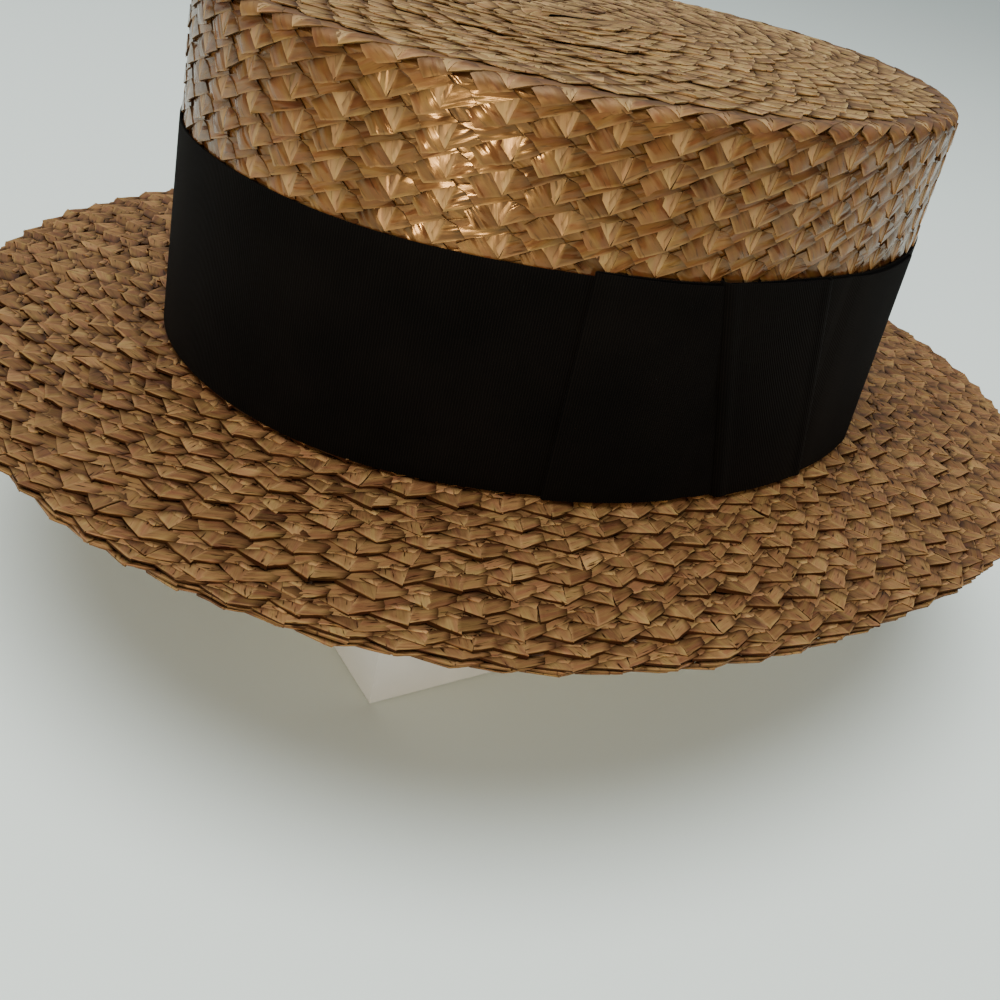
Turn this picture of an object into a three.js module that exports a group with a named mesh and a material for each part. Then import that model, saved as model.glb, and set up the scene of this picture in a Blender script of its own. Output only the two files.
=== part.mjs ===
// Straw boater hat with a black ribbon and a flat side bow, standing on a plain white block.
// Millimetres, +Z up. The origin is on the surface the block stands on, below the middle of the crown.
// The front of the hat points to -Y, and the bow is on the wearer's left, at +X.
import * as THREE from 'three';
import { mergeVertices } from 'three/addons/utils/BufferGeometryUtils.js';

// Crown and brim, as half sizes of their ovals
const crownHalfLength = 102;
const crownHalfWidth = 82.6;
const crownPower = 2.05;
const crownHeight = 84;
const crownTaper = 3.6;
const brimWidth = 48.2;
const brimPower = 2.15;
const brimThickness = 3;
const brimRise = 1.2;
const brimEdgeHeight = 60;

// Sewn straw braid
const strawThickness = 2.2;
const rowPitch = 5.9;
const rowLip = 0.7;
const ridgeRadius = 3.2;
const ridgeTurns = [30, 60];
const tipRise = 1;
const tipCentreHalfWidth = 5;
const ribbonSeat = 0.6;

// Ribbon and bow, placed along the crown's side from +X towards the back
const ribbonWidth = 50;
const ribbonThickness = 0.8;
const ribbonAboveBrim = 1.3;
const bowMiddle = -3;
const bowHalfLength = 50;
const loopThickness = 0.9;
const loopAbove = 0.8;
const loopBelow = 0.1;
const knotWidth = 32;
const knotSlant = 14;
const knotThickness = 1.1;
const knotTurnIn = 0.6;

// Block, whose corners carry the brim a little outside the crown
const blockLength = 146.4;
const blockWidth = 129.4;
const blockTurn = THREE.MathUtils.degToRad(-4);
const blockEdge = 1.2;
const blockCornerOutward = 14;

const gap = 0.3;
const segments = 60;
const panelStep = 5;

const strawTop = brimEdgeHeight + brimRise;
const crownBase = strawTop + gap;
const crownTop = brimEdgeHeight + crownHeight;
const headOpening = -ribbonSeat - strawThickness;
const ribbonBottom = strawTop + ribbonAboveBrim;
const ribbonTop = ribbonBottom + ribbonWidth;
const ribbonInner = gap;
const loopInner = ribbonInner + ribbonThickness + gap;
const knotInner = loopInner + loopThickness + gap;
const brimUnderside = (outward) => brimEdgeHeight - brimThickness + brimRise * (1 - outward / brimWidth);
const blockTop = brimUnderside(blockCornerOutward) - gap;

const { lerp, clamp, degToRad } = THREE.MathUtils;

// A point of the oval that lies a distance outside the crown's base oval
function ovalPoint(turn, outward) {
  const power = 2 / lerp(crownPower, brimPower, clamp(outward / brimWidth, 0, 1));
  const x = Math.sign(Math.cos(turn)) * Math.abs(Math.cos(turn)) ** power;
  const y = Math.sign(Math.sin(turn)) * Math.abs(Math.sin(turn)) ** power;
  return new THREE.Vector2(x * (crownHalfWidth + outward), y * (crownHalfLength + outward));
}

// Makes one closed mesh from corner positions, three to a face, and turns its faces outwards
function solid(positions) {
  const corner = (k) => new THREE.Vector3().fromArray(positions, 3 * k);
  let volume = 0;
  for (let k = 0; k < positions.length / 3; k += 3) {
    volume += corner(k).dot(corner(k + 1).cross(corner(k + 2)));
  }
  const geometry = new THREE.BufferGeometry();
  geometry.setAttribute('position', new THREE.Float32BufferAttribute(positions, 3));
  const merged = mergeVertices(geometry, 1e-4);
  if (volume < 0) merged.index.array.reverse();
  return merged;
}

// Faces between rings of points. A ring of one point is a pole.
function bandFaces(rings, closed) {
  const positions = [];
  const face = (...corners) => corners.forEach((corner) => positions.push(...corner.toArray()));
  const bands = closed ? rings.length : rings.length - 1;
  for (let i = 0; i < bands; i += 1) {
    const lower = rings[i];
    const upper = rings[(i + 1) % rings.length];
    const count = Math.max(lower.length, upper.length);
    for (let k = 0; k < count; k += 1) {
      const next = (k + 1) % count;
      if (lower.length > 1) face(lower[k], lower[next], upper[next % upper.length]);
      if (upper.length > 1) face(lower[k % lower.length], upper[next], upper[k]);
    }
  }
  return positions;
}

// The hat's rings follow a profile of { outward, height } rows. A row with a null outward is the axis.
function hatSolid(profile, closed) {
  const rings = profile.map(({ outward, height }) => {
    if (outward === null) return [new THREE.Vector3(0, 0, height)];
    return Array.from({ length: segments }, (_, k) => {
      const point = ovalPoint((2 * Math.PI * k) / segments, outward);
      return new THREE.Vector3(point.x, point.y, height);
    });
  });
  return solid(bandFaces(rings, closed));
}

// Rows of braid lap like shingles: each climbs to its lip, then drops to the row that it covers
function shingleRows(from, to, place) {
  const count = Math.max(1, Math.round(Math.abs(to - from) / rowPitch));
  const rows = [];
  for (let row = 0; row < count; row += 1) {
    rows.push(place(lerp(from, to, row / count), 0));
    rows.push(place(lerp(from, to, (row + 1) / count), rowLip));
  }
  return rows;
}

function taperAt(height) {
  return (-crownTaper * (height - brimEdgeHeight)) / crownHeight;
}

function crownProfile() {
  const tipEdge = taperAt(crownTop) - ridgeRadius;
  const tipCentre = tipCentreHalfWidth - crownHalfWidth;
  const tipHeight = (outward) => crownTop + (tipRise * (tipEdge - outward)) / (tipEdge - tipCentre);
  const tipRow = (outward, lip) => ({ outward, height: tipHeight(outward) + lip - rowLip });
  const wallRow = (height, lip) => ({ outward: taperAt(height) + lip - rowLip / 2, height });
  const ridge = ridgeTurns.map((turn) => ({
    outward: tipEdge + ridgeRadius * Math.sin(degToRad(turn)),
    height: crownTop - ridgeRadius * (1 - Math.cos(degToRad(turn))),
  }));
  const tipInside = crownTop - rowLip - strawThickness;
  return [
    { outward: null, height: tipHeight(tipCentre) },
    ...shingleRows(tipCentre, tipEdge, tipRow),
    ...ridge,
    ...shingleRows(crownTop - ridgeRadius, ribbonTop, wallRow),
    { outward: taperAt(ribbonTop) - ribbonSeat, height: ribbonTop },
    { outward: taperAt(crownBase) - ribbonSeat, height: crownBase },
    { outward: taperAt(crownBase) + headOpening, height: crownBase },
    { outward: taperAt(tipInside) + headOpening, height: tipInside },
    { outward: null, height: tipInside },
  ];
}

function brimProfile() {
  const topRow = (outward, lip) => ({
    outward,
    height: brimUnderside(outward) + brimThickness + lip - rowLip,
  });
  return [
    { outward: headOpening, height: strawTop },
    { outward: 0, height: strawTop },
    ...shingleRows(rowLip, brimWidth, topRow),
    { outward: brimWidth, height: brimUnderside(brimWidth) + rowLip },
    { outward: brimWidth - rowPitch / 2, height: brimUnderside(brimWidth) },
    { outward: headOpening, height: brimUnderside(0) },
  ];
}

// Distances along the crown's base oval, from +X half way round
const wallTurns = 720;
const wallDistances = [0];
for (let k = 1; k <= wallTurns; k += 1) {
  const before = ovalPoint((Math.PI * (k - 1)) / wallTurns, 0);
  const after = ovalPoint((Math.PI * k) / wallTurns, 0);
  wallDistances.push(wallDistances[k - 1] + before.distanceTo(after));
}

function turnAlong(distance) {
  const far = Math.abs(distance);
  const k = Math.max(1, wallDistances.findIndex((length) => length >= far));
  const part = (far - wallDistances[k - 1]) / (wallDistances[k] - wallDistances[k - 1]);
  return (Math.sign(distance) * Math.PI * (k - 1 + part)) / wallTurns;
}

// A point on the crown's side, proud of the straw below the ribbon by its stand-off
function onCrown(distance, height, standOff) {
  const point = ovalPoint(turnAlong(distance), taperAt(height) - ribbonSeat + standOff);
  return new THREE.Vector3(point.x, point.y, height);
}

function ribbonBand() {
  const profile = sheetSection(ribbonInner, ribbonThickness, 0, 0).map(({ height, standOff }) => ({
    outward: taperAt(height) - ribbonSeat + standOff,
    height,
  }));
  return hatSolid(profile, true);
}

function sheetSection(inner, thickness, below, above) {
  return [
    { height: ribbonBottom - below, standOff: inner },
    { height: ribbonBottom - below, standOff: inner + thickness },
    { height: ribbonTop + above, standOff: inner + thickness },
    { height: ribbonTop + above, standOff: inner },
  ];
}

// The knot is a strap: its ends turn in over the loops' upper edge and below their lower edge
function knotSection() {
  const low = ribbonBottom - loopBelow - gap;
  const high = ribbonTop + loopAbove + gap;
  const outer = knotInner + knotThickness;
  return [
    { height: low, standOff: loopInner },
    { height: low - knotTurnIn, standOff: loopInner },
    { height: low - knotTurnIn, standOff: outer - gap },
    { height: low, standOff: outer },
    { height: high, standOff: outer },
    { height: high + knotTurnIn, standOff: outer - gap },
    { height: high + knotTurnIn, standOff: loopInner },
    { height: high, standOff: loopInner },
    { height: high, standOff: knotInner },
    { height: low, standOff: knotInner },
  ];
}

// A cloth panel that follows the crown's side. Each end leans back from the ribbon's top to its bottom.
function crownPanel({ front, back, frontSlant, backSlant, section }) {
  const steps = Math.ceil((back - front) / panelStep);
  const lean = (height) => (ribbonTop - height) / ribbonWidth - 0.5;
  const ring = (share) => section.map(({ height, standOff }) => {
    const start = front + frontSlant * lean(height);
    const end = back + backSlant * lean(height);
    return onCrown(lerp(start, end, share), height, standOff);
  });
  const rings = Array.from({ length: steps + 1 }, (_, step) => ring(step / steps));
  const positions = bandFaces(rings, false);
  const outline = section.map(({ height, standOff }) => new THREE.Vector2(standOff, height));
  for (const [a, b, c] of THREE.ShapeUtils.triangulateShape(outline, [])) {
    const first = rings[0];
    const last = rings[steps];
    for (const point of [first[c], first[b], first[a], last[a], last[b], last[c]]) {
      positions.push(...point.toArray());
    }
  }
  return solid(positions);
}

const loopSection = sheetSection(loopInner, loopThickness, loopBelow, loopAbove);
const bowPanels = {
  bow_front_loop: {
    front: bowMiddle - bowHalfLength,
    back: bowMiddle - gap / 2,
    frontSlant: 0,
    backSlant: knotSlant,
    section: loopSection,
  },
  bow_back_loop: {
    front: bowMiddle + gap / 2,
    back: bowMiddle + bowHalfLength,
    frontSlant: knotSlant,
    backSlant: 0,
    section: loopSection,
  },
  bow_knot: {
    front: bowMiddle - knotWidth / 2,
    back: bowMiddle + knotWidth / 2,
    frontSlant: knotSlant,
    backSlant: knotSlant,
    section: knotSection(),
  },
};

function displayBlock() {
  const shape = new THREE.Shape();
  const halfWidth = blockWidth / 2 - blockEdge;
  const halfLength = blockLength / 2 - blockEdge;
  shape.moveTo(-halfWidth, -halfLength).lineTo(halfWidth, -halfLength);
  shape.lineTo(halfWidth, halfLength).lineTo(-halfWidth, halfLength).closePath();
  const geometry = new THREE.ExtrudeGeometry(shape, {
    depth: blockTop - 2 * blockEdge,
    bevelThickness: blockEdge,
    bevelSize: blockEdge,
    bevelSegments: 2,
  });
  geometry.deleteAttribute('normal');
  geometry.deleteAttribute('uv');
  return mergeVertices(geometry.translate(0, 0, blockEdge), 1e-4);
}

const straw = { color: 0xb08a56, roughness: 0.45, metalness: 0 };
const ribbon = { color: 0x14120f, roughness: 0.75, metalness: 0 };
const white = { color: 0xe8e9e6, roughness: 0.5, metalness: 0 };

const hat = new THREE.Group();

function addPiece(name, geometry, finish) {
  const mesh = new THREE.Mesh(geometry, new THREE.MeshStandardMaterial(finish));
  mesh.name = name;
  hat.add(mesh);
  return mesh;
}

addPiece('display_block', displayBlock(), white).rotation.z = blockTurn;
addPiece('brim', hatSolid(brimProfile(), true), straw);
addPiece('crown', hatSolid(crownProfile(), false), straw);
addPiece('ribbon_band', ribbonBand(), ribbon);
for (const [name, panel] of Object.entries(bowPanels)) addPiece(name, crownPanel(panel), ribbon);

export default hat;
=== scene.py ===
import bpy
import math
import numpy as np
from mathutils import Matrix, Vector


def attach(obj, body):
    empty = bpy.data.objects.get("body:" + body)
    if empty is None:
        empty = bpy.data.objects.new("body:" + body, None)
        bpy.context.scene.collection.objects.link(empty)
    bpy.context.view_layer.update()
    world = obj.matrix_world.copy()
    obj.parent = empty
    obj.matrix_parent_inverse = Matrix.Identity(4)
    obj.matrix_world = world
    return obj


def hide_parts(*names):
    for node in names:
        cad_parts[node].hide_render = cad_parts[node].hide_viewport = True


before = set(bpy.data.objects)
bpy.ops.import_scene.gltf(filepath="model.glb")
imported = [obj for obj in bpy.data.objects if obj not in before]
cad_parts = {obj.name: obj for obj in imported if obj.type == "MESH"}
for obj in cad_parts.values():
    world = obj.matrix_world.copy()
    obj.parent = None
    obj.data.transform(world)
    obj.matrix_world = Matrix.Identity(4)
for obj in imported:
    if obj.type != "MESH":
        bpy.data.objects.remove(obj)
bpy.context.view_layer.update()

# Straw boater on a white display block. Sizes are in millimetres and become metres where a mesh is made.
mm = 0.001
hat = {
    "halfLength": 102.0,  # the crown's oval where it meets the brim
    "halfWidth": 82.6,
    "crownPower": 2.05,  # 2 is an ellipse, and more is squarer
    "brimPower": 2.15,
    "crownTop": 144.0,
    "taper": 3.6,  # how far the crown draws in between the brim and its top
    "ridge": 3.2,  # radius of the bend between side and tip
    "tipRise": 1.0,
    "tipCentre": -77.6,  # outward from the crown's foot, like every distance across
    "brimWidth": 48.2,
    "brimEdge": 60.0,  # height of the brim's top at its rim
    "brimRise": 1.2,
    "footRise": 1.1,  # where the brim turns up to the crown
    "footWidth": 4.0,
    "brimThickness": 2.2,
    "ribbonBottom": 63.2,
    "ribbonTop": 112.2,
}


def say(stage):
    print("boater:", stage, flush=True)


# Small helpers

def toLinear(code, alpha=1.0):
    parts = [int(code[k:k + 2], 16) / 255 for k in (0, 2, 4)]
    parts = [p / 12.92 if p <= 0.04045 else ((p + 0.055) / 1.055) ** 2.4 for p in parts]
    return (*parts, alpha)


def addNode(tree, kind, settings=None, inputs=None):
    node = tree.nodes.new(kind)
    for name, value in (settings or {}).items():
        setattr(node, name, value)
    for name, value in (inputs or {}).items():
        if isinstance(value, bpy.types.NodeSocket):
            tree.links.new(value, node.inputs[name])
        else:
            node.inputs[name].default_value = value
    return node


def newMaterial(name):
    material = bpy.data.materials.new(name)
    material.use_nodes = True
    tree = material.node_tree
    return material, tree, tree.nodes["Principled BSDF"]


def meshObject(name, points, faces):
    mesh = bpy.data.meshes.new(name)
    mesh.from_pydata([tuple(p) for p in np.asarray(points) * mm], [], faces)
    mesh.update()
    piece = bpy.data.objects.new(name, mesh)
    bpy.context.scene.collection.objects.link(piece)
    mesh.shade_smooth()
    return piece


def only(piece):
    bpy.ops.object.select_all(action="DESELECT")
    piece.select_set(True)
    bpy.context.view_layer.objects.active = piece


def finishPiece(piece, slotName, material, *nodes):
    piece.data.materials.clear()
    piece.data.materials.append(material)
    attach(piece, "root")
    if nodes:
        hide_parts(*nodes)


# The hat's ovals

def ovalPoint(turn, outward):
    share = np.clip(outward / hat["brimWidth"], 0, 1)
    power = 2 / (hat["crownPower"] + (hat["brimPower"] - hat["crownPower"]) * share)
    c, s = np.cos(turn), np.sin(turn)
    x = np.sign(c) * np.abs(c) ** power * np.maximum(hat["halfWidth"] + outward, 0)
    y = np.sign(s) * np.abs(s) ** power * (hat["halfLength"] + outward)
    return x, y


def taperAt(height):
    return -hat["taper"] * (height - hat["brimEdge"]) / (hat["crownTop"] - hat["brimEdge"])


def onBrim(turn, across, proud):
    # across runs outward from the crown's foot, proud is above the brim
    x, y = ovalPoint(turn, across)
    share = across / hat["brimWidth"]
    # the rim waves gently up and down
    wave = 0.45 * np.sin(3 * turn + 0.6) + 0.3 * np.sin(7 * turn + 2.0) + 0.15 * np.sin(17 * turn)
    z = hat["brimEdge"] + hat["brimRise"] * (1 - share) + proud + wave * np.clip(share, 0, 1) ** 2
    # the braid turns up a little where it meets the crown
    z = z + hat["footRise"] * np.clip(1 - across / hat["footWidth"], 0, 1) ** 2
    return np.stack([x, y, z], -1)


def underBrim(turn, across, proud):
    point = onBrim(turn, np.maximum(across, hat["footWidth"]), 0 * turn)
    x, y = ovalPoint(turn, across)
    return np.stack([x, y, point[..., 2] - hat["brimThickness"] - proud], -1)


tipEdge = taperAt(hat["crownTop"]) - hat["ridge"]
tipLength = tipEdge - hat["tipCentre"]
ridgeLength = hat["ridge"] * math.pi / 2
wallTop = hat["crownTop"] - hat["ridge"]


def onCrown(turn, across, proud):
    # across runs from the middle of the tip outward, over the ridge and down the side
    bend = np.clip((across - tipLength) / hat["ridge"], 0, math.pi / 2)
    down = np.clip(across - tipLength - ridgeLength, 0, None)
    flat = np.clip(across, None, tipLength)
    wallHeight = wallTop - down
    outward = hat["tipCentre"] + flat + (hat["ridge"] + proud) * np.sin(bend)
    outward = outward + np.where(down > 0, taperAt(wallHeight) - taperAt(wallTop), 0)
    z = hat["crownTop"] + hat["tipRise"] * (1 - flat / tipLength)
    wave = 0.35 * np.sin(2 * turn + 0.4) * np.cos(across / 17) + 0.2 * np.sin(5 * turn + across / 11)
    z = z - (hat["ridge"] + proud) * (1 - np.cos(bend)) - down + proud
    z = z + wave * np.cos(bend)
    x, y = ovalPoint(turn, outward)
    return np.stack([x, y, z], -1)


# how far straw stands proud of the crown's side when it is free, and how much less under the ribbon
seat = {"above": 0.2, "fade": 1.2, "free": 0.7, "pressedBy": 1.15}


def besideRibbon(turn, across, proud):
    # the crown's side, with the straw pressed in where the ribbon covers it
    wallHeight = wallTop - (across - tipLength - ridgeLength)
    pressed = np.clip((hat["ribbonTop"] + seat["above"] - wallHeight) / seat["fade"], 0, 1)
    return onCrown(turn, across, np.minimum(proud, seat["free"] - seat["pressedBy"] * pressed))


# Materials

def strawMaterial(name, shades, finish):
    # Split wheat straw, plaited flat and stiffened with shellac. The straw's outside is glossy and warm, its
    # inside, which a folded straw shows, is paler and matt, and painted shade darkens it where straws go
    # under.
    material, tree, shader = newMaterial(name)
    lay = addNode(tree, "ShaderNodeAttribute", {"attribute_name": "lay"})
    tone, fold, tuckShade = addNode(tree, "ShaderNodeSeparateXYZ", inputs={
        "Vector": lay.outputs["Vector"]}).outputs
    side = addNode(tree, "ShaderNodeAttribute", {"attribute_name": "side"})
    raw, gap, dull = addNode(tree, "ShaderNodeSeparateXYZ", inputs={
        "Vector": side.outputs["Vector"]}).outputs
    fibre = addNode(tree, "ShaderNodeUVMap", {"uv_map": "fibre"}).outputs["UV"]
    place = addNode(tree, "ShaderNodeTexCoord").outputs["Object"]
    # fibres about 0.35 mm wide and 10 mm long
    stretched = addNode(tree, "ShaderNodeMapping", inputs={
        "Vector": fibre, "Scale": (0.10, 2.8, 1.0)})
    fine = addNode(tree, "ShaderNodeTexNoise", inputs={
        "Vector": stretched.outputs["Vector"], "Scale": 1.0, "Detail": 3.0, "Roughness": 0.65}).outputs["Fac"]
    # stripes of 1 to 3 mm, where one side of a straw ripened darker
    wide = addNode(tree, "ShaderNodeMapping", inputs={"Vector": fibre, "Scale": (0.12, 0.55, 1.0)})
    bands = addNode(tree, "ShaderNodeTexNoise", inputs={
        "Vector": wide.outputs["Vector"], "Scale": 1.0, "Detail": 2.0}).outputs["Fac"]
    # dents and creases about 3 mm wide and 11 mm long
    dented = addNode(tree, "ShaderNodeMapping", inputs={"Vector": fibre, "Scale": (0.09, 0.32, 1.0)})
    dents = addNode(tree, "ShaderNodeTexNoise", inputs={
        "Vector": dented.outputs["Vector"], "Scale": 1.0, "Detail": 1.5, "Distortion": 0.5}).outputs["Fac"]
    # thin, short cracks between fibres, painted dark as shade
    splitMap = addNode(tree, "ShaderNodeMapping", inputs={"Vector": fibre, "Scale": (0.22, 1.7, 1.0)})
    splitNoise = addNode(tree, "ShaderNodeTexNoise", inputs={
        "Vector": splitMap.outputs["Vector"], "Scale": 1.0, "Detail": 2.0, "Roughness": 0.5}).outputs["Fac"]
    splitShade = addNode(tree, "ShaderNodeMapRange", inputs={
        "Value": splitNoise, "From Min": 0.39, "From Max": 0.31, "To Min": 0.0, "To Max": finish["splitShade"]})
    # stains about 25 mm across
    stain = addNode(tree, "ShaderNodeTexNoise", inputs={
        "Vector": place, "Scale": 40.0, "Detail": 3.0}).outputs["Fac"]
    stripe = 0.4
    level = tone
    for source, amount in ((fine, finish["streak"]), (bands, stripe), (stain, finish["stain"])):
        level = addNode(tree, "ShaderNodeMath", {"operation": "MULTIPLY_ADD"}, {
            0: source, 1: amount, 2: level}).outputs[0]
    middle = 0.5 * (finish["streak"] + stripe + finish["stain"])
    share = addNode(tree, "ShaderNodeMapRange", inputs={
        "Value": level, "From Min": middle - 0.5, "From Max": middle + 0.5}).outputs["Result"]
    ramp = addNode(tree, "ShaderNodeValToRGB", inputs={"Fac": share})
    ramp.color_ramp.elements[0].color = toLinear(shades["dark"])
    ramp.color_ramp.elements[1].color = toLinear(shades["pale"])
    for at, code in ((0.33, shades["brown"]), (0.66, shades["gold"])):
        ramp.color_ramp.elements.new(at).color = toLinear(code)
    colour = ramp.outputs["Color"]
    # mixed in: the straw's pale inside, its own colour, a painted highlight, partly wear, along the edges,
    # painted shade in cracks and where straws go under, and painted shadow on a gap's wall
    for factor, kind, code in ((raw, "MIX", shades["inside"]),
                               (fold, "MIX", shades["fold"]),
                               (splitShade.outputs["Result"], "MULTIPLY", "5A3A20"),
                               (tuckShade, "MULTIPLY", "5A3820"),
                               (gap, "MIX", shades["gap"])):
        colour = addNode(tree, "ShaderNodeMix", {"data_type": "RGBA", "blend_type": kind}, {
            0: factor, 6: colour, 7: toLinear(code)}).outputs[2]
    # some straws are redder and some greener
    hue = addNode(tree, "ShaderNodeMapRange", inputs={
        "Value": bands, "From Min": 0.3, "From Max": 0.7, "To Min": 0.487, "To Max": 0.518}).outputs["Result"]
    colour = addNode(tree, "ShaderNodeHueSaturation", inputs={"Hue": hue, "Color": colour}).outputs["Color"]
    tree.links.new(colour, shader.inputs["Base Color"])
    gloss = addNode(tree, "ShaderNodeMapRange", inputs={
        "Value": bands, "From Min": 0.3, "From Max": 0.75,
        "To Min": finish["roughness"] - 0.06, "To Max": finish["roughness"] + 0.12}).outputs["Result"]
    for factor, value in ((raw, 0.6), (dull, 0.6), (gap, 1.0)):
        gloss = addNode(tree, "ShaderNodeMix", {"data_type": "FLOAT"}, {
            0: factor, 2: gloss, 3: value}).outputs[0]
    tree.links.new(gloss, shader.inputs["Roughness"])
    dentBump = addNode(tree, "ShaderNodeBump", inputs={
        "Height": dents, "Strength": 1.0, "Distance": finish["dent"] * mm})
    fineBump = addNode(tree, "ShaderNodeBump", inputs={
        "Height": fine, "Strength": 1.0, "Distance": finish["grain"] * mm,
        "Normal": dentBump.outputs["Normal"]})
    tree.links.new(fineBump.outputs["Normal"], shader.inputs["Normal"])
    # shellac gives its own amber to what it reflects
    shader.inputs["Specular IOR Level"].default_value = finish["shine"]
    shader.inputs["Specular Tint"].default_value = toLinear("FFD8A0")
    shader.inputs["IOR"].default_value = 1.5
    return material


def plainStraw():
    # the dark, unlit straw behind the plait
    material, tree, shader = newMaterial("strawBehindPlait")
    place = addNode(tree, "ShaderNodeTexCoord")
    grain = addNode(tree, "ShaderNodeTexNoise", inputs={
        "Vector": place.outputs["Object"], "Scale": 260.0, "Detail": 2.0})
    ramp = addNode(tree, "ShaderNodeValToRGB", inputs={"Fac": grain.outputs["Fac"]})
    ramp.color_ramp.elements[0].color = toLinear("2A1A0E")
    ramp.color_ramp.elements[1].color = toLinear("5A3D22")
    tree.links.new(ramp.outputs["Color"], shader.inputs["Base Color"])
    shader.inputs["Roughness"].default_value = 0.7
    return material


def ribbonMaterial():
    # Black cotton and rayon grosgrain: matt, with ribs across the ribbon's length, which stand upright here
    material, tree, shader = newMaterial("blackGrosgrain")
    cloth = addNode(tree, "ShaderNodeUVMap", {"uv_map": "cloth"})
    # a wave texture at scale 1 repeats every pi / 10
    ribPitch = 0.565487
    ribs = addNode(tree, "ShaderNodeTexWave", {"wave_type": "BANDS", "bands_direction": "X"}, {
        "Vector": cloth.outputs["UV"], "Scale": math.pi / 10 / ribPitch, "Distortion": 0.6,
        "Detail": 1.0, "Detail Scale": 0.6})
    threads = addNode(tree, "ShaderNodeTexNoise", inputs={
        "Vector": cloth.outputs["UV"], "Scale": 3.2, "Detail": 2.0})
    place = addNode(tree, "ShaderNodeTexCoord")
    dust = addNode(tree, "ShaderNodeTexNoise", inputs={
        "Vector": place.outputs["Object"], "Scale": 55.0, "Detail": 4.0, "Roughness": 0.6})
    level = addNode(tree, "ShaderNodeMapRange", inputs={
        "Value": dust.outputs["Fac"], "From Min": 0.35, "From Max": 0.75, "To Min": 0.0, "To Max": 0.4})
    ribTone = addNode(tree, "ShaderNodeMath", {"operation": "MULTIPLY_ADD"}, {
        0: ribs.outputs["Fac"], 1: 0.6, 2: level.outputs["Result"]})
    ramp = addNode(tree, "ShaderNodeValToRGB", inputs={"Fac": ribTone.outputs[0]})
    ramp.color_ramp.elements[0].color = toLinear("020202")
    ramp.color_ramp.elements[1].color = toLinear("0D0B0A")
    tree.links.new(ramp.outputs["Color"], shader.inputs["Base Color"])
    height = addNode(tree, "ShaderNodeMath", {"operation": "MULTIPLY_ADD"}, {
        0: threads.outputs["Fac"], 1: 0.35, 2: ribs.outputs["Fac"]})
    bump = addNode(tree, "ShaderNodeBump", inputs={
        "Height": height.outputs[0], "Strength": 0.6, "Distance": 0.0002})
    tree.links.new(bump.outputs["Normal"], shader.inputs["Normal"])
    shader.inputs["Roughness"].default_value = 0.85
    shader.inputs["Specular IOR Level"].default_value = 0.04
    shader.inputs["Sheen Weight"].default_value = 0.006
    shader.inputs["Sheen Roughness"].default_value = 0.4
    return material


def blockMaterial():
    # Cast white acrylic riser: smooth, slightly cool white, with a soft sheen and a few dull scuffs
    material, tree, shader = newMaterial("whiteAcrylic")
    place = addNode(tree, "ShaderNodeTexCoord")
    scuffs = addNode(tree, "ShaderNodeTexNoise", inputs={
        "Vector": place.outputs["Object"], "Scale": 120.0, "Detail": 5.0})
    ramp = addNode(tree, "ShaderNodeValToRGB", inputs={"Fac": scuffs.outputs["Fac"]})
    ramp.color_ramp.elements[0].color = toLinear("BDC5CA")
    ramp.color_ramp.elements[1].color = toLinear("CBD2D7")
    tree.links.new(ramp.outputs["Color"], shader.inputs["Base Color"])
    rough = addNode(tree, "ShaderNodeMapRange", inputs={
        "Value": scuffs.outputs["Fac"], "To Min": 0.25, "To Max": 0.5})
    tree.links.new(rough.outputs["Result"], shader.inputs["Roughness"])
    shader.inputs["IOR"].default_value = 1.49
    return material


# shades are the straw's own colours, but fold is a painted highlight, partly wear, and gap is painted shadow;
# dent and grain are depths in mm
sideStraw = strawMaterial(
    "shellackedStrawSide",
    {"dark": "422815", "brown": "56371D", "gold": "654426", "pale": "775635", "inside": "957B58",
     "fold": "A08052", "gap": "231106"},
    {"streak": 0.3, "stain": 0.5, "splitShade": 0.55, "roughness": 0.155, "shine": 0.68, "dent": 0.85,
     "grain": 0.02})
tipStraw = strawMaterial(
    "dustyStrawTip",
    {"dark": "5C442C", "brown": "745939", "gold": "8A6D46", "pale": "A0835B", "inside": "A68A60",
     "fold": "AF946A", "gap": "402C19"},
    {"streak": 0.65, "stain": 0.6, "splitShade": 0.9, "roughness": 0.6, "shine": 0.25, "dent": 0.5,
     "grain": 0.1})
brimStraw = strawMaterial(
    "shellackedStrawBrim",
    {"dark": "412718", "brown": "5F4127", "gold": "765535", "pale": "8F6E47", "inside": "846A46",
     "fold": "A58155", "gap": "2A150A"},
    {"streak": 0.6, "stain": 0.4, "splitShade": 1.0, "roughness": 0.45, "shine": 0.25, "dent": 0.7,
     "grain": 0.1})
groundStraw = plainStraw()
grosgrain = ribbonMaterial()
acrylic = blockMaterial()
say("materials")


# Straw plait

splint = {
    "thickness": 0.22,  # mm
    "gap": 0.7,  # mm of gap below a lifted edge, whose wall is painted dark as shadow
    "crowding": 1.5,  # how far the grid crowds towards its first two edges
    "edgeTaper": 0.035,  # how far the foot of the gap's wall draws in
}


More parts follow.
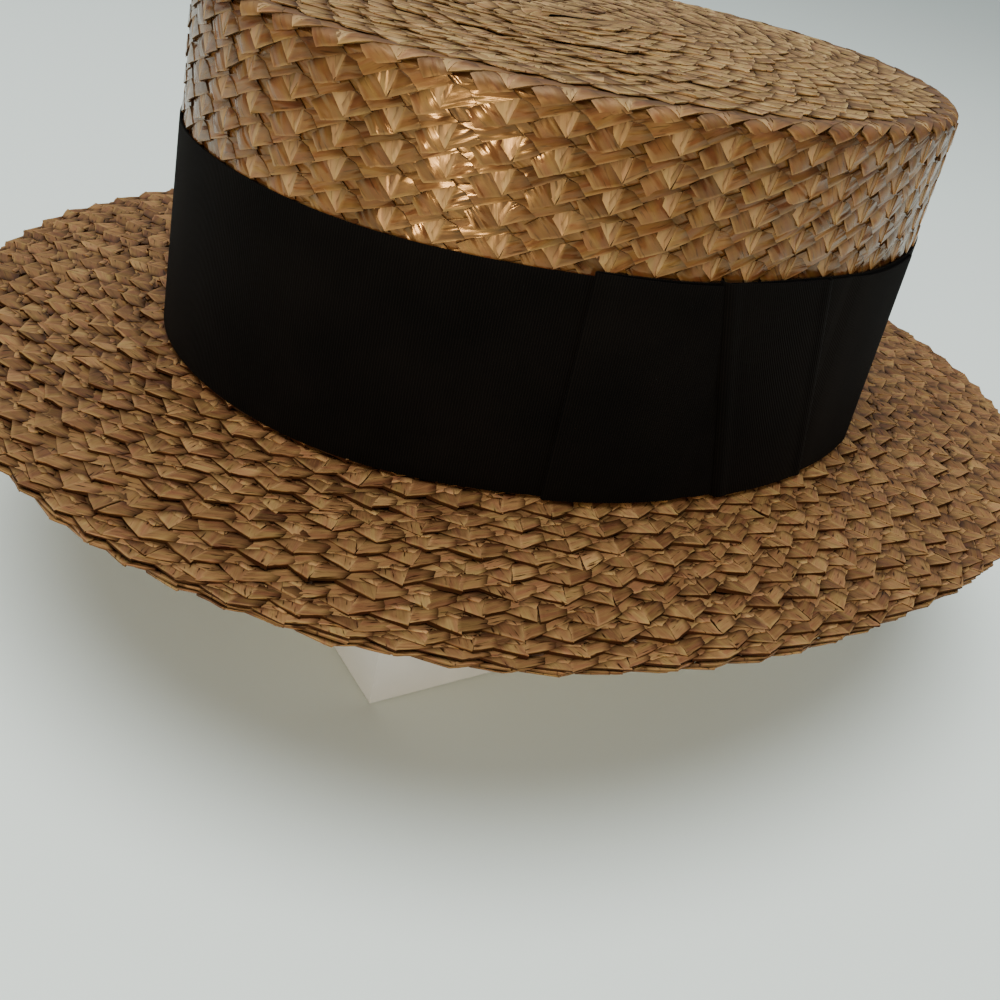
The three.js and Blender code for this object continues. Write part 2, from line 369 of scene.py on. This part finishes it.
def splintPatch(acrossCount, alongCount, walls):
    # one flat splint, modelled on a unit square, with its thin edge and the wall of the gap below it, painted
    # dark as shadow
    bpy.ops.object.select_all(action="DESELECT")
    bpy.ops.mesh.primitive_grid_add(x_subdivisions=acrossCount, y_subdivisions=alongCount, size=1)
    patch = bpy.context.object
    bpy.ops.object.mode_set(mode="EDIT")
    bpy.ops.mesh.select_all(action="DESELECT")
    bpy.ops.mesh.select_mode(type="EDGE")
    bpy.ops.mesh.select_non_manifold()
    for _ in range(walls):
        bpy.ops.mesh.extrude_region_move(TRANSFORM_OT_translate={"value": (0, 0, -1)})
    bpy.ops.object.mode_set(mode="OBJECT")
    points = np.array([v.co for v in patch.data.vertices])
    faces = [list(f.vertices) for f in patch.data.polygons]
    bpy.data.objects.remove(patch)
    # each wall was extruded by 1: the first is the splint's edge, the second is the gap's wall
    wall = -points[:, 2]
    edge = np.clip(wall, 0, 1)
    gap = np.clip(wall - 1, 0, 1)
    shrink = 1 - splint["edgeTaper"] * gap
    u = (points[:, 0] * shrink + 0.5) ** splint["crowding"]
    w = (points[:, 1] * shrink + 0.5) ** splint["crowding"]
    return {"u": u, "w": w, "edge": edge, "gap": gap, "faces": faces}


patches = {"full": splintPatch(4, 4, 2),
           "slant": splintPatch(3, 4, 2),
           "half": splintPatch(3, 3, 2),
           "facet": splintPatch(2, 3, 1),
           "plain": splintPatch(2, 2, 0)}

# One tooth of the plait. Corners are (pitches along, mm across, mm proud), and the first corner is
# between the two edges that show. fibre is the angle of the straw's grain, in degrees, and raw is how
# much of the straw's pale inside shows.
tooth = {
    "body": {"patch": "full", "corners": [(0.0, 3.0, 1.0), (0.5, 0.0, 0.72), (0.0, -3.1, 0.05),
                                          (-0.5, 0.0, 0.42)],
             "fibre": 76, "dome": 0.1, "tone": 0.0, "raw": 0.0},
    "facet": {"patch": "facet", "corners": [(-0.02, 2.75, 1.2), (-0.04, -2.3, 0.62), (-0.27, -1.5, 0.4),
                                            (-0.45, 0.3, 0.6)],
              "fibre": 92, "dome": 0.04, "tone": 0.06, "raw": 0.8},
    "slant": {"patch": "slant", "corners": [(0.5, 0.15, 0.58), (1.02, -3.0, 0.5), (0.5, -6.3, -0.1),
                                            (0.0, -3.2, -0.05)],
              "fibre": -30, "dome": 0.12, "tone": 0.0, "raw": 0.0},
    # on the brim each tooth is a left half and a right half that laps the next tooth
    "half": {"patch": "half", "corners": [(0.02, 3.0, 0.95), (0.02, -2.9, 0.15), (-0.33, -1.7, 0.15),
                                          (-0.68, 0.3, 0.45)],
             "fibre": 70, "dome": 0.1, "tone": 0.0, "raw": 0.4, "gap": 1.2},
    "strip": {"patch": "full", "corners": [(0.0, 3.0, 1.0), (0.5, -0.35, 0.62), (0.5, -3.6, 0.05),
                                           (0.0, -2.9, 0.2)],
              "fibre": -30, "dome": 0.16, "tone": 0.0, "raw": 0.0, "gap": 0.8},
    "upper": {"patch": "slant", "corners": [(0.46, -0.2, 0.36), (1.08, -3.4, 0.25), (0.6, -6.6, -0.2),
                                            (0.1, -3.9, -0.1)],
              "fibre": -30, "dome": 0.1, "tone": -0.05, "raw": 0.0, "gap": 0.5},
    "snip": {"patch": "facet", "corners": [(-0.05, -1.1, 0.5), (0.03, -2.5, 0.45), (-0.28, -2.6, 0.35),
                                           (-0.36, -1.6, 0.42)],
             "fibre": 60, "dome": 0.05, "tone": 0.1, "raw": 0.8, "gap": 0.4},
    # on the crown's side a straw rises from its fold, and the next one falls across it to the row below
    "foldSide": {"patch": "half", "corners": [(0.0, 3.0, 1.0), (0.51, 0.7, 0.78), (0.32, -1.3, 0.7),
                                              (0.13, -1.9, 0.75)],
                 "fibre": -23, "dome": 0.08, "tone": 0.0, "raw": 0.0},
    "riseSide": {"patch": "slant", "corners": [(0.42, 1.0, 0.6), (1.12, -1.95, 0.3), (0.8, -4.4, -0.1),
                                               (0.13, -1.9, 0.3)],
                 "fibre": -23, "dome": 0.12, "tone": -0.03, "raw": 0.0},
    "fallSide": {"patch": "full", "corners": [(-0.43, 4.85, 0.55), (0.08, 3.15, 0.35), (-0.22, -1.2, 0.25),
                                              (-0.65, 2.0, 0.3)],
                 "fibre": 47, "dome": 0.3, "tone": -0.02, "raw": 0.0},
    "rawSide": {"patch": "facet", "corners": [(-0.01, 2.95, 0.8), (0.16, -1.9, 0.4), (-0.12, -1.5, 0.15),
                                              (-0.33, -0.75, 0.35)],
                "fibre": 80, "dome": 0.04, "tone": 0.05, "raw": 0.9},
    "slitSide": {"patch": "facet", "corners": [(0.0, 2.7, 0.92), (0.14, -1.7, 0.55), (0.03, -1.7, 0.42),
                                               (-0.06, 1.0, 0.72)],
                 "fibre": 78, "dome": 0.05, "tone": 0.08, "raw": 1.0},
    # what shows through between the rows
    "under": {"patch": "plain", "corners": [(0.52, -1.2, -0.4), (0.5, -7.0, -0.4), (-0.5, -7.0, -0.4),
                                            (-0.52, -1.2, -0.4)],
              "fibre": 30, "dome": 0.08, "tone": -0.2, "raw": 0.0},
}


# how unlike each other the teeth of a row are, in pitches along and mm across and proud
scatter = {
    "phase": 0.04,
    "slide": 0.06,
    "corner": np.array([0.03, 0.25, 0.13]),
    "surface": np.array([0.01, 0.1, 0.07]),
    "fibre": 5,  # degrees
    "tone": 0.17,
    "fibreOffset": 500,  # mm, so that no two straws share their fibres
}


def closedRandom(rng, count, size):
    # one value a tooth, with the last meeting the first
    values = rng.normal(0, size, count)
    return np.append(values, values[0])


def alongRow(place, middle, samples):
    # how far along the row each turn comes, in mm
    ring = np.linspace(0, 2 * math.pi, samples)
    line = place(ring, np.full_like(ring, middle), 0 * ring)
    return ring, np.append(0, np.cumsum(np.linalg.norm(np.diff(line, axis=0), axis=1)))


def layRow(place, middle, count, spec, rng, parts):
    ring, length = alongRow(place, middle, 1441)
    pitch = length[-1] / count
    if spec["phase"] is None:
        phase = rng.uniform(0, 1)
    else:
        phase = spec["phase"] + rng.normal(0, scatter["phase"])
    shift = closedRandom(rng, count, scatter["slide"])
    depth = closedRandom(rng, count, spec["unevenness"])
    lift = closedRandom(rng, count, spec["liftSpread"])
    knots = np.arange(count + 1)
    numbers = np.arange(count)[:, None]
    for name in spec["layers"]:
        layer = tooth[name]
        patch = patches[layer["patch"]]
        u, w, edge, gap = (patch[key][None] for key in ("u", "w", "edge", "gap"))
        corners = np.repeat(np.array(layer["corners"])[None], count, 0)
        corners += rng.normal(0, 1, corners.shape) * scatter["corner"] * spec["rough"]
        weights = np.stack([(1 - u) * (1 - w), u * (1 - w), u * w, (1 - u) * w], -1)
        flat = np.einsum("nmc,kcd->kmd", weights, corners)
        flat += rng.normal(0, 1, flat.shape) * scatter["surface"] * spec["rough"]
        # the straw swells by its dome in the middle
        dome = layer["dome"] * rng.uniform(0.3, 1.6, (count, 1))
        proud = flat[..., 2] * spec["relief"] + dome * 16 * u * (1 - u) * w * (1 - w)
        drop = splint["gap"] * spec["gap"] * layer.get("gap", 1)
        proud = proud + spec["level"] - splint["thickness"] * edge - drop * gap
        at = flat[..., 0] + numbers
        fold = at % count
        slide = np.interp(fold, knots, shift)
        deep = np.interp(fold, knots, depth)
        proud = proud + np.interp(fold, knots, lift) * spec["relief"]
        across = middle + flat[..., 1] * spec["reach"] + deep
        turn = np.interp(((at + slide + phase) % count) * pitch, length, ring)
        points = place(turn, across, proud)
        angle = np.radians(layer["fibre"] + rng.normal(0, scatter["fibre"], (count, 1)))
        run, rise = flat[..., 0] * pitch, flat[..., 1]
        offset = scatter["fibreOffset"]
        grainU = run * np.cos(angle) + rise * np.sin(angle) + rng.uniform(0, offset, (count, 1))
        grainV = -run * np.sin(angle) + rise * np.cos(angle) + rng.uniform(0, offset, (count, 1))
        tone = np.repeat(rng.normal(layer["tone"], scatter["tone"], (count, 1)), u.shape[1], 1)
        # painted highlight, partly wear, along the two edges that show, and painted shade over the far 0.4 of
        # the splint, where it goes under the next
        rim = np.clip(1 - np.minimum(u, w) / 0.09, 0, 1)
        foldHighlightAndWear = rim * spec["foldHighlightAndWear"] * rng.uniform(0.2, 1, (count, 1))
        far = np.clip((np.maximum(u, w) - 0.6) / 0.4, 0, 1)
        tuckShade = far ** 1.5 * spec["tuckShade"] * np.ones((count, 1))
        raw = layer["raw"] * spec["raw"] * rng.uniform(0.3, 1.1, (count, 1)) * np.ones_like(u)
        # the gap's wall is painted dark as shadow
        gapShadow = edge * (patch["gap"].max() > 0) * spec["shadow"] * np.ones((count, 1))
        shade = np.stack([tone, foldHighlightAndWear, tuckShade, raw, gapShadow, spec["dull"] + 0 * tone], -1)
        base = sum(len(p[0]) for p in parts)
        size = u.shape[1]
        faces = [[base + k * size + v for v in face] for k in range(count) for face in patch["faces"]]
        parts.append((points.reshape(-1, 3), faces, np.stack([grainU, grainV], -1).reshape(-1, 2),
                      shade.reshape(-1, 6)))


toothTip = 3.0  # every tooth's tip is this far across, in mm


def plait(name, place, spec, seed):
    # rows of braid by the place of their tips across, then rows that differ from the rest
    rng = np.random.default_rng(seed)
    parts = []
    for tip, changes in [(tip, {}) for tip in spec["tips"]] + spec["edgeRows"]:
        row = {**spec, **changes}
        middle = tip - toothTip * row["reach"]
        around = alongRow(place, middle, 361)[1][-1]
        count = row["count"] or max(5, round(around / row["pitch"]))
        layRow(place, middle, count, row, rng, parts)
    points = np.concatenate([p[0] for p in parts])
    faces = [f for p in parts for f in p[1]]
    piece = meshObject(name, points, faces)
    grain = np.concatenate([p[2] for p in parts])
    shade = np.concatenate([p[3] for p in parts]).astype(np.float32)
    corner = np.empty(len(piece.data.loops), np.int32)
    piece.data.loops.foreach_get("vertex_index", corner)
    layerUv = piece.data.uv_layers.new(name="fibre")
    layerUv.data.foreach_set("uv", grain[corner].astype(np.float32).ravel())
    for title, columns in (("lay", slice(0, 3)), ("side", slice(3, 6))):
        layer = piece.data.attributes.new(title, "FLOAT_VECTOR", "POINT")
        layer.data.foreach_set("vector", shade[:, columns].ravel())
    only(piece)
    bpy.ops.object.shade_smooth_by_angle(angle=math.radians(35))
    if spec["flip"]:
        piece.data.flip_normals()
    say(f"{name}, {len(piece.data.loops) - 2 * len(faces)} triangles")
    return piece


# The rows. tips are places across, in mm, and pitch is the length of a tooth. relief and reach scale a
# tooth's height and its size across, level lowers the whole row, gap scales the gap below a lifted edge, and
# the keys for painted highlight and wear along the edges, for painted shade where straws go under, and raw,
# shadow (painted shadow on a gap's wall) and dull say how much of each the straw shows.
plaitLook = {
    "pitch": 10.2,
    "count": 0,  # teeth in a row, or 0 to work it out from the pitch
    "phase": None,  # where the row starts, in pitches, or None for anywhere
    "relief": 1.0,
    "reach": 1.0,
    "level": -0.3,
    "gap": 1.0,
    "unevenness": 0.3,
    "liftSpread": 0.12,
    "rough": 1.0,
    "raw": 0.3,
    "foldHighlightAndWear": 0.7,
    "tuckShade": 0.9,
    "shadow": 1.0,
    "dull": 0.0,
    "flip": False,
    "edgeRows": [],
}

# on the crown's side the teeth stand nearly above one another
wallStart = tipLength + ridgeLength
sideDown = (4.8, 10.8, 16.4, 22.3, 28.1, 34.0)
sideRows = {
    **plaitLook,
    "layers": ["under", "riseSide", "fallSide", "rawSide", "slitSide", "foldSide"],
    "tips": [],
    "count": 53,
    "relief": 0.8,
    "level": -0.6,
    "gap": 0.65,
    "unevenness": 0.25,
    "rough": 0.38,
    "raw": 0.75,
    "foldHighlightAndWear": 0.5,
    "tuckShade": 0.6,
    "edgeRows": [(wallStart + down, {"phase": 0.07 * row}) for row, down in enumerate(sideDown, 1)],
}
# the row that bends over the ridge is flatter and duller
sideRows["edgeRows"].append((wallStart - 1.4, {
    "phase": 0.0, "relief": 0.45, "gap": 0.3, "shadow": 0.7, "level": -0.5, "dull": 0.7}))

tipRows = {
    **plaitLook,
    "layers": ["under", "slant", "body", "facet"],
    "tips": list(np.linspace(7.8, wallStart - 12.6, 11)),
    "pitch": 9.8,
    "relief": 0.4,
    "gap": 0.24,
    "unevenness": 0.5,
    "liftSpread": 0.42,
    "shadow": 0.75,
    "edgeRows": [
        (2.6, {"reach": 0.8, "relief": 0.15, "gap": 0.05, "shadow": 0.2, "tuckShade": 0.3}),
        (wallStart - 7.4, {"relief": 0.25, "gap": 0.12, "shadow": 0.5})],
}

brimLook = {
    **plaitLook,
    "layers": ["under", "upper", "snip", "half", "strip"],
    "pitch": 10.1,
    "gap": 0.85,
    "unevenness": 0.22,
    "liftSpread": 0.22,
    "rough": 0.8,
    "foldHighlightAndWear": 0.5,
}
brimInner = {**brimLook, "tips": [0.3, 5.8, 11.9, 16.9, 21.8]}
rimLayers = ["half", "strip"]
brimOuter = {
    **brimLook,
    "tips": [27.0, 32.1, 37.4, 42.6],
    # the rim is several thicknesses of braid, one below another
    "edgeRows": [
        (46.0, {"reach": 0.75, "relief": 0.85}),
        (47.7, {"layers": rimLayers, "reach": 0.45, "relief": 0.6, "level": -2.3, "gap": 0.2,
                "shadow": 0.4}),
        (48.0, {"layers": rimLayers, "reach": 0.45, "relief": 0.6, "level": -1.4, "gap": 0.4,
                "shadow": 0.6}),
        (48.1, {"reach": 0.6, "relief": 0.8, "level": -0.5, "gap": 0.4, "unevenness": 0.4})],
}
underRows = {
    **plaitLook,
    "layers": ["under", "slant", "body"],
    "tips": [3.0, 8.7, 14.4, 20.1, 25.8, 31.5, 37.2, 42.2],
    "flip": True,
    "edgeRows": [(46.6, {"reach": 0.6, "relief": 0.7})],
}

crownSide = plait("crown_side", besideRibbon, sideRows, 11)
finishPiece(crownSide, "straw", sideStraw, "crown")
crownTip = plait("crown_tip", onCrown, tipRows, 12)
finishPiece(crownTip, "straw", tipStraw, "crown")
say("crown plait")
for name, rows, seed in (("brim_top_inner", brimInner, 13), ("brim_top_outer", brimOuter, 15)):
    finishPiece(plait(name, onBrim, rows, seed), "straw", brimStraw, "brim")
brimUnder = plait("brim_under", underBrim, underRows, 14)
finishPiece(brimUnder, "straw", brimStraw, "brim")
say("brim plait")


# Shells: spun about the hat's axis, then pressed into its oval

# plain walls behind the plait, in mm below its surface and outward from the crown's foot
ground = {
    "spinRadius": 100,
    "steps": 180,
    "brimStations": (-2.6, 10, 22, 34, 44.5),
    "brimTop": 1.1,
    "brimLow": 1.6,
    "crownInset": 1.35,
    "crownInside": 2.4,
    "crownLevels": (61.5, 80, 100, 120, 140.8),
    "lidHeight": 141.9,
    "weld": 0.01,
}


def weldDoubles():
    bpy.ops.mesh.select_all(action="SELECT")
    bpy.ops.mesh.remove_doubles(threshold=ground["weld"] * mm)


def spunShell(name, outline, closed):
    # outline points are (outward, height), and the crown's oval is spun as a circle of spinRadius
    radius = ground["spinRadius"]
    points = [((radius + outward) * mm, 0.0, height * mm) for outward, height in outline]
    edges = [(k, k + 1) for k in range(len(points) - 1)]
    if closed:
        edges.append((len(points) - 1, 0))
    mesh = bpy.data.meshes.new(name)
    mesh.from_pydata(points, edges, [])
    piece = bpy.data.objects.new(name, mesh)
    bpy.context.scene.collection.objects.link(piece)
    only(piece)
    bpy.ops.object.mode_set(mode="EDIT")
    bpy.ops.mesh.select_all(action="SELECT")
    bpy.ops.mesh.spin(steps=ground["steps"], angle=2 * math.pi, center=(0, 0, 0), axis=(0, 0, 1))
    weldDoubles()
    bpy.ops.mesh.normals_make_consistent(inside=False)
    bpy.ops.object.mode_set(mode="OBJECT")
    co = np.empty(len(mesh.vertices) * 3)
    mesh.vertices.foreach_get("co", co)
    co = co.reshape(-1, 3) / mm
    outward = np.hypot(co[:, 0], co[:, 1]) - radius
    turn = np.arctan2(co[:, 1], co[:, 0])
    x, y = ovalPoint(turn, outward)
    mesh.vertices.foreach_set("co", (np.stack([x, y, co[:, 2]], -1) * mm).ravel())
    mesh.update()
    # pressing closes the middle onto a line
    bpy.ops.object.mode_set(mode="EDIT")
    weldDoubles()
    bpy.ops.object.mode_set(mode="OBJECT")
    mesh.shade_smooth()
    return piece


def brimGround():
    stations = ground["brimStations"]
    level = {at: hat["brimEdge"] + hat["brimRise"] * (1 - at / hat["brimWidth"]) for at in stations}
    top = [(at, level[at] - ground["brimTop"]) for at in stations]
    low = [(at, level[at] - ground["brimLow"]) for at in reversed(stations)]
    return spunShell("brim_ground", top + low, True)


def crownGround():
    inset = ground["crownInset"]
    levels = ground["crownLevels"]
    centre = -hat["halfWidth"]
    reach = tipEdge - centre
    tip = [(centre + reach * k / 8, hat["crownTop"] + hat["tipRise"] * (1 - k / 8) - inset)
           for k in range(9)]
    bend = [(tipEdge + (hat["ridge"] - inset) * math.sin(a), wallTop + (hat["ridge"] - inset) * math.cos(a))
            for a in (0.4, 0.8, 1.2, 1.571)]
    side = [(taperAt(z) - inset, z) for z in (130, 115, 100, 80, levels[0])]
    inner = [(taperAt(z) - ground["crownInside"], z) for z in levels]
    lid = [(centre + reach * k / 4, ground["lidHeight"]) for k in (3, 2, 1, 0)]
    return spunShell("crown_ground", tip + bend + side + inner + lid, False)


finishPiece(brimGround(), "straw", groundStraw, "brim")
finishPiece(crownGround(), "straw", groundStraw, "crown")
say("grounds")


# Ribbon, bow and knot

# stand-offs are from the straw to the middle of the cloth
ribbon = {
    "thickness": 0.5,
    "standOff": 0.65,
    "inStraw": -0.6,  # where a stand-off starts, outward from the crown's plain side
    "bevel": 0.12,
    "loopThickness": 0.42,
    "loopOuter": 2.3,
    "loopInner": 1.3,
    "frontEnd": -53.2,  # the loops' folds, along the crown's side from +X towards the back
    "backEnd": 47.2,
    "knotMiddle": -3.0,
    "knotHalf": 15.8,
    "knotStandOff": 3.2,
    "knotLean": 14.0,  # how far forward its foot stands of its top
}
quarter = np.linspace(-math.pi, math.pi, 2881)
baseX, baseY = ovalPoint(quarter, 0 * quarter)
baseLength = np.append(0, np.cumsum(np.hypot(np.diff(baseX), np.diff(baseY))))
baseLength -= np.interp(0, quarter, baseLength)


def besideCrown(distance, height, standOff):
    # a point on the crown's side: distance along it from +X towards the back, height, and how far proud
    turn = np.interp(distance, baseLength, quarter)
    x, y = ovalPoint(turn, taperAt(height) + ribbon["inStraw"] + standOff)
    return np.stack([x, y, height + 0 * x], -1)


def clothUv(piece, values):
    corner = np.empty(len(piece.data.loops), np.int32)
    piece.data.loops.foreach_get("vertex_index", corner)
    piece.data.uv_layers.new(name="cloth").data.foreach_set("uv", values[corner].astype(np.float32).ravel())


def woven(name, path, lean, heights, thickness, wobble, closed=False):
    # a strip of ribbon that follows path, (distance, stand-off) in mm, and stands upright against the crown
    path = np.array(path, float)
    run = np.append(0, np.cumsum(np.hypot(*np.diff(path, axis=0).T)))
    rows = []
    uv = []
    for height in heights:
        slant = lean * ((hat["ribbonTop"] - height) / 50 - 0.5)
        level = height + wobble(path[:, 0], height)
        rows.append(besideCrown(path[:, 0] + slant, level, path[:, 1]))
        uv.append(np.stack([run, np.full_like(run, height)], -1))
    count = len(path)
    points = np.concatenate(rows)
    faces = []
    for r in range(len(heights) - 1):
        for k in range(count if closed else count - 1):
            a, b = r * count + k, r * count + (k + 1) % count
            faces.append([a, b, b + count, a + count])
    piece = meshObject(name, points, faces)
    clothUv(piece, np.concatenate(uv))
    only(piece)
    wall = piece.modifiers.new("wall", "SOLIDIFY")
    wall.thickness = thickness * mm
    wall.offset = 0
    bpy.ops.object.modifier_apply(modifier="wall")
    edge = piece.modifiers.new("edge", "BEVEL")
    edge.width = ribbon["bevel"] * mm
    edge.segments = 2
    edge.limit_method = "ANGLE"
    bpy.ops.object.modifier_apply(modifier="edge")
    bpy.ops.object.shade_smooth_by_angle(angle=math.radians(40))
    return piece


def bandWobble(distance, height):
    return 0.25 * np.sin(distance / 31) + 0.15 * np.sin(distance / 11.3 + 1)


def loopWobble(distance, height):
    return -0.25 * np.cos((distance + 30) / 9) * (height - 60) / 50


def knotWobble(distance, height):
    return 0 * distance


def ribbonBand():
    around = baseLength[-1] - baseLength[0]
    count = 360
    path = [(baseLength[0] + around * k / count, ribbon["standOff"]) for k in range(count)]
    heights = np.linspace(hat["ribbonBottom"], hat["ribbonTop"], 15)
    return woven("ribbon_cloth", path, 0.0, heights, ribbon["thickness"], bandWobble, closed=True), around


band, bandLength = ribbonBand()
finishPiece(band, "ribbon", grosgrain, "ribbon_band")


def loopPath(end, start, sign):
    # out along the front layer to the fold, round it, and back behind
    outer = ribbon["loopOuter"]
    inner = ribbon["loopInner"]
    run = np.linspace(start, end, 16)
    swell = 0.5 * np.sin(np.linspace(0, math.pi, 16)) ** 1.5
    # pinched in beside the knot's edge
    fromKnot = np.abs(run - ribbon["knotMiddle"])
    pinch = 0.8 * np.clip(1 - (fromKnot - 15.5) / 7, 0, 1) ** 2 * (fromKnot > 14)
    front = [(s, outer + w - p) for s, w, p in zip(run[:-1], swell[:-1], pinch[:-1])]
    middle, radius = (outer + inner) / 2, (outer - inner) / 2
    turnOver = [(end - sign * 0.4 + sign * 1.4 * radius * math.sin(a), middle + radius * math.cos(a))
                for a in np.linspace(0.3, math.pi - 0.3, 6)]
    back = [(s, inner) for s in run[::-1][1:]]
    return front + turnOver + back


loopHeights = np.linspace(hat["ribbonBottom"] - 0.1, hat["ribbonTop"] + 0.9, 17)
for name, node, path in (
        ("front_loop_cloth", "bow_front_loop", loopPath(ribbon["frontEnd"], -3.2, -1)),
        ("back_loop_cloth", "bow_back_loop", loopPath(ribbon["backEnd"], -2.8, 1))):
    loop = woven(name, path, 0.0, loopHeights, ribbon["loopThickness"], loopWobble)
    finishPiece(loop, "ribbon", grosgrain, node)


def knotPath():
    # its sides are turned under, and a soft fold stands along each
    middle = ribbon["knotMiddle"]
    half = ribbon["knotHalf"]
    run = np.linspace(middle - half, middle + half, 41)
    fromSide = half - np.abs(run - middle)
    fold = 0.45 * np.exp(-((fromSide - 2.2) / 1.6) ** 2)
    under = 1.5 * np.clip(1 - fromSide / 1.3, 0, 1) ** 2
    swell = 0.2 * np.sin((run + 19) / 32 * math.pi)
    return list(zip(run, ribbon["knotStandOff"] + fold - under + swell))


knotHeights = np.linspace(62.8, 113.7, 15)
knot = woven("knot_cloth", knotPath(), ribbon["knotLean"], knotHeights, ribbon["thickness"], knotWobble)
finishPiece(knot, "ribbon", grosgrain, "bow_knot")
say("ribbon and bow")


# Block

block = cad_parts["display_block"]
block.data.materials.clear()
block.data.materials.append(acrylic)


# Camera, floor and light

view = {
    "place": (210.689, -187.942, 181.161),
    "right": (0.56093661, 0.80480273, 0.19401725),
    "up": (-0.53671186, 0.17509881, 0.82539735),
    "back": (0.63030985, -0.56712695, 0.5301665),
    "lens": 38.473,
}
lens = bpy.data.cameras.new("camera")
lens.lens = view["lens"]
lens.sensor_width = 36
lens.clip_start = 0.01
camera = bpy.data.objects.new("camera", lens)
axes = Matrix((view["right"], view["up"], view["back"])).transposed().to_4x4()
camera.matrix_world = Matrix.Translation(Vector(view["place"]) * mm) @ axes
bpy.context.scene.collection.objects.link(camera)
bpy.context.scene.camera = camera

bpy.ops.object.select_all(action="DESELECT")
bpy.ops.mesh.primitive_plane_add(size=40)
floor = bpy.context.object
floor.name = "floor"
paper, _, shader = newMaterial("matPaper")
shader.inputs["Base Color"].default_value = toLinear("DDE9E4")
shader.inputs["Roughness"].default_value = 0.6
floor.data.materials.append(paper)


def areaLight(name, azimuth, elevation, distance, size, power, colour):
    lamp = bpy.data.lights.new(name, "AREA")
    lamp.shape = "DISK"
    lamp.size = size
    lamp.energy = power
    lamp.color = toLinear(colour)[:3]
    a, e = math.radians(azimuth), math.radians(elevation)
    towards = Vector((math.sin(a) * math.cos(e), -math.cos(a) * math.cos(e), math.sin(e)))
    lamp = bpy.data.objects.new(name, lamp)
    lamp.location = towards * distance + Vector((0, 0, 0.09))
    lamp.rotation_mode = "QUATERNION"
    lamp.rotation_quaternion = towards.to_track_quat("Z", "Y")
    bpy.context.scene.collection.objects.link(lamp)
    return lamp


# azimuth is from the hat's front towards its left and power is in watts
areaLight("ceiling", 30, 78, 1.7, 1.4, 38, "FFFFFF")
areaLight("window", 42, 8, 1.6, 0.18, 18, "FFDDB0")
world = bpy.data.worlds.new("studio")
world.use_nodes = True
sky = world.node_tree
# a pale ceiling over darker walls
heading = addNode(sky, "ShaderNodeTexCoord").outputs["Generated"]
upward = addNode(sky, "ShaderNodeSeparateXYZ", inputs={"Vector": heading}).outputs["Z"]
ceiling = addNode(sky, "ShaderNodeValToRGB", inputs={"Fac": upward})
ceiling.color_ramp.elements[0].color = toLinear("6C7274")
ceiling.color_ramp.elements[1].color = toLinear("F6FAFB")
ceiling.color_ramp.elements[0].position = 0.1
ceiling.color_ramp.elements[1].position = 0.75
sky.links.new(ceiling.outputs["Color"], sky.nodes["Background"].inputs["Color"])
sky.nodes["Background"].inputs["Strength"].default_value = 0.76
bpy.context.scene.world = world
say("camera and light")
